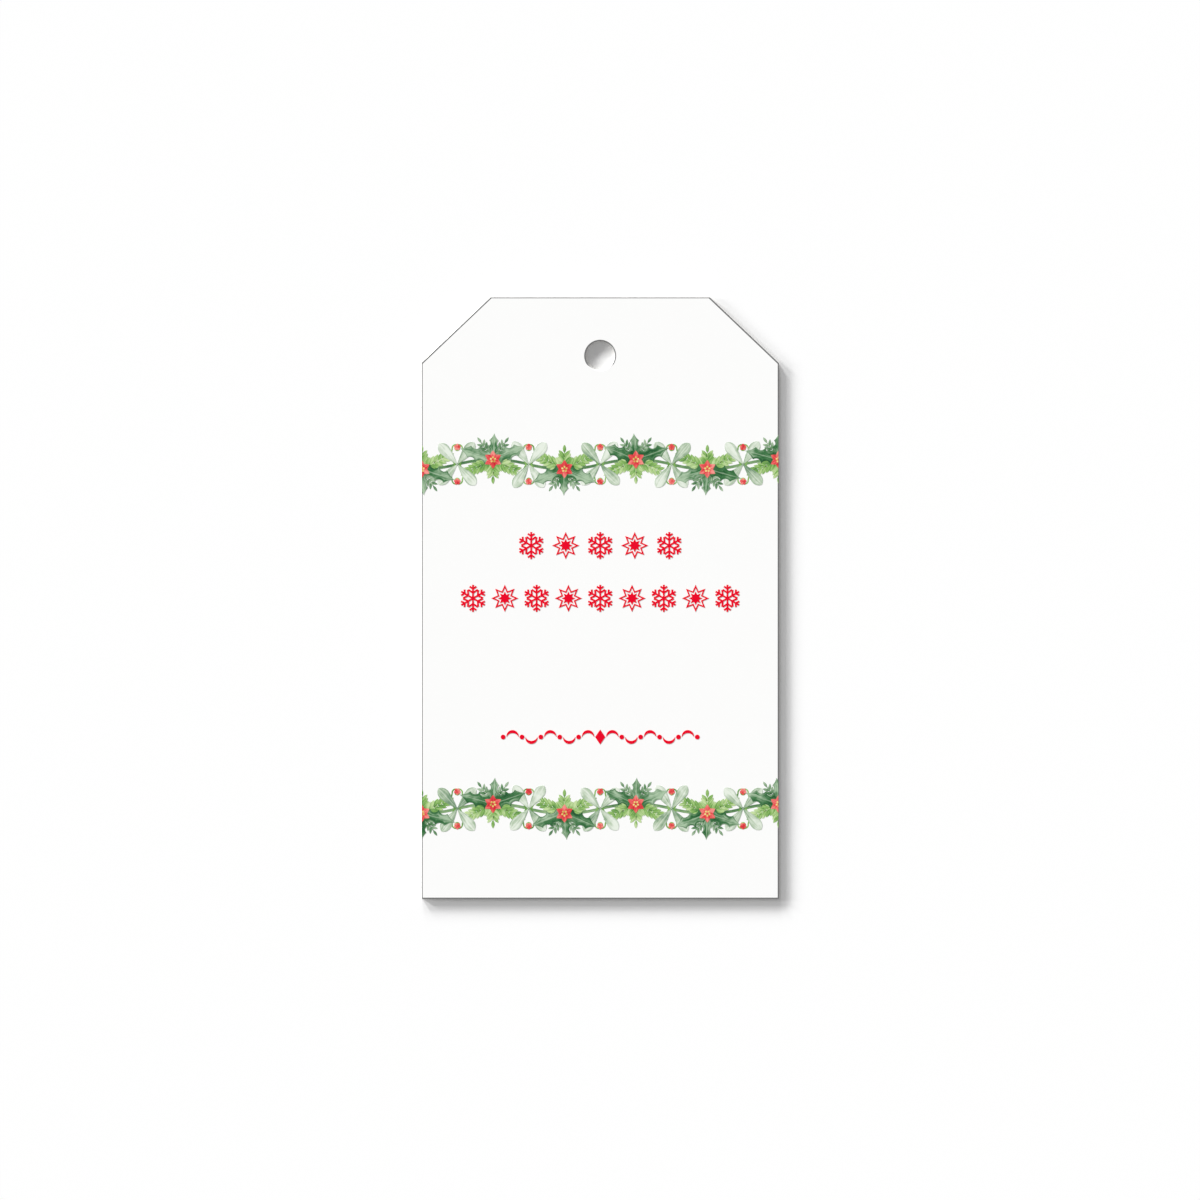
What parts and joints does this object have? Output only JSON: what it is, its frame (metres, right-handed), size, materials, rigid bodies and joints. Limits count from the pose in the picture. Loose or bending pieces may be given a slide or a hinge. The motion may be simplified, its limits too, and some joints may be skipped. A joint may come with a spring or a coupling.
{
  "type": "gift tag",
  "caption": "Flat white card gift tag with clipped top corners, a round string hole, printed garland bands, rows of red ornaments and a red flourish.",
  "frame": {"origin": "middle of the back face, the face that lies on the table", "axes": "+Z out of the printed face, +Y along the card towards the string hole, +X to the right of the print"},
  "size_m": [0.0528, 0.0888, 0.0005],
  "materials": {
    "card_front": "smooth uncoated white",
    "card_core": "cut white board",
    "card_back": "uncoated white",
    "ink_lettering_red": "flat printed ink",
    "ink_vine_green": "watercolour-like printed ink",
    "ink_leaf_green": "watercolour-like printed ink",
    "ink_mid_green": "watercolour-like printed ink",
    "ink_sage": "watercolour-like printed ink",
    "ink_deep_green": "watercolour-like printed ink",
    "ink_blossom_red": "watercolour-like printed ink",
    "ink_straw": "watercolour-like printed ink"
  },
  "bodies": {
    "root": {"back_ply": "card_back", "core_ply": "card_core", "front_ply": "card_front", "greeting_ornaments": "ink_lettering_red", "signature_flourish": "ink_lettering_red", "upper_garland_vine": "ink_vine_green", "upper_garland_tendrils": "ink_leaf_green", "upper_garland_myrtle": "ink_mid_green", "upper_garland_laurel": "ink_leaf_green", "upper_garland_mistletoe": "ink_sage", "upper_garland_holly": "ink_deep_green", "upper_garland_blossoms": "ink_blossom_red", "upper_garland_stamens": "ink_straw", "lower_garland_vine": "ink_vine_green", "lower_garland_tendrils": "ink_leaf_green", "lower_garland_myrtle": "ink_mid_green", "lower_garland_laurel": "ink_leaf_green", "lower_garland_mistletoe": "ink_sage", "lower_garland_holly": "ink_deep_green", "lower_garland_blossoms": "ink_blossom_red", "lower_garland_stamens": "ink_straw"}
  },
  "joints": []
}
